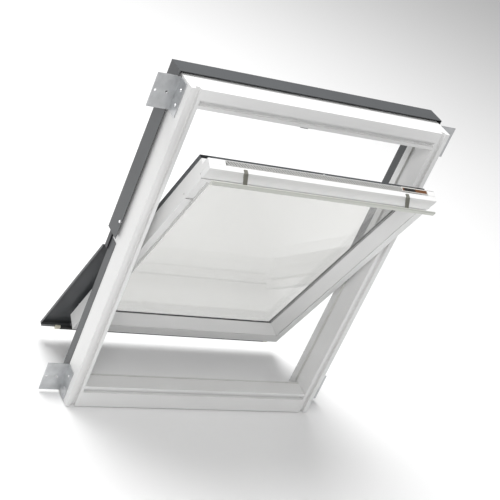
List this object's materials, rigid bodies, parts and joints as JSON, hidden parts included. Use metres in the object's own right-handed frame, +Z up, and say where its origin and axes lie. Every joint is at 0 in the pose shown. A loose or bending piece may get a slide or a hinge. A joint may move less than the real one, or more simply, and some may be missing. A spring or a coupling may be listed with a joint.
{
  "type": "roof skylight",
  "caption": "Centre-pivot roof skylight standing open: white frame and sash, insulating glazing, ventilation flap with control bar, dark outer covers and batten brackets.",
  "frame": {"origin": "centre of the four corner brackets, in the plane of the battens they are screwed to", "axes": "+X to the right seen from the room, +Y outdoors, at a right angle to the roof, +Z up the slope"},
  "size_m": [0.904, 0.4497, 0.9892],
  "materials": {
    "frame_white": "satin polyurethane lacquer",
    "sash_white": "satin polyurethane lacquer",
    "black_rubber": "matt",
    "grey_rubber": "matt",
    "zinc_steel": "zinc plated",
    "screw_steel": "bright zinc",
    "dark_aluminium": "matt lacquer",
    "dark_plastic": "fine grain",
    "clear_glass": "clear float",
    "spacer_grey": "matt",
    "packer_plastic": "plain",
    "pale_plastic": "plain",
    "cream_plastic": "plain",
    "filter_foam": "open foam",
    "grille_grey": "fine grain",
    "plate_brown": "printed film",
    "bar_aluminium": "satin",
    "bracket_grey": "satin"
  },
  "bodies": {
    "frame": {"frame_left": "frame_white", "frame_right": "frame_white", "frame_top": "frame_white", "frame_bottom": "frame_white", "side_gaskets": "grey_rubber", "top_gasket": "grey_rubber", "bottom_gasket": "grey_rubber", "frame_hinge_left": "zinc_steel", "frame_hinge_right": "zinc_steel", "striker_plate": "zinc_steel", "fitting_screws": "screw_steel", "bolt_bush": "pale_plastic", "upper_cover_left": "dark_aluminium", "upper_cover_right": "dark_aluminium", "top_hood": "dark_aluminium", "lower_trim_left": "dark_aluminium", "lower_trim_right": "dark_aluminium", "sill_cover": "dark_aluminium", "hinge_caps": "dark_plastic", "cover_screws": "screw_steel", "bracket_top_left": "zinc_steel", "bracket_top_right": "zinc_steel", "bracket_bottom_left": "zinc_steel", "bracket_bottom_right": "zinc_steel", "bracket_screws": "screw_steel"},
    "sash": {"sash_left": "sash_white", "sash_right": "sash_white", "sash_top": "sash_white", "sash_bottom": "sash_white", "inner_pane": "clear_glass", "outer_pane": "clear_glass", "spacer_bar": "spacer_grey", "bedding_seal": "black_rubber", "setting_blocks": "packer_plastic", "cover_gasket": "black_rubber", "sash_hinge_left": "zinc_steel", "sash_hinge_right": "zinc_steel", "friction_pads": "dark_plastic", "sash_hinge_screws": "screw_steel", "lock_case": "zinc_steel", "vent_filter": "filter_foam", "vent_grille": "grille_grey", "top_flashing": "dark_aluminium", "data_plate": "plate_brown", "flap_knuckles": "zinc_steel", "flap_pins": "zinc_steel", "side_cover_left": "dark_aluminium", "side_cover_right": "dark_aluminium", "side_trim_left": "dark_aluminium", "side_trim_right": "dark_aluminium", "top_cover": "dark_aluminium", "bottom_cover": "dark_aluminium", "sweep_seal": "black_rubber", "corner_blocks": "cream_plastic", "sash_cover_screws": "screw_steel"},
    "vent_flap": {"flap": "sash_white", "control_bar": "bar_aluminium", "bar_brackets": "bracket_grey"},
    "latch": {"latch_bolt": "zinc_steel"},
    "barrel_bolt": {"barrel_bolt": "zinc_steel"}
  },
  "joints": [
    {"name": "sash_pivot", "type": "hinge", "parent": "frame", "child": "sash", "pos_m": [0, 0.045, 0], "axis": [1, 0, 0], "range_deg": [-24.5, 130.5]},
    {"name": "flap_hinge", "type": "hinge", "parent": "sash", "child": "vent_flap", "pos_m": [0, -0.16636, 0.32512], "axis": [1, 0, 0], "range_deg": [0, 20]},
    {"name": "latch_slide", "type": "slide", "parent": "sash", "child": "latch", "axis": [0, 0.4147, -0.91], "range_m": [0, 0.012]},
    {"name": "bolt_slide", "type": "slide", "parent": "sash", "child": "barrel_bolt", "axis": [-1, 0, 0], "range_m": [0, 0.014]}
  ],
  "couplings": [
    {"joint": "latch_slide", "follows": "flap_hinge", "m_per_rad": 0.034}
  ]
}
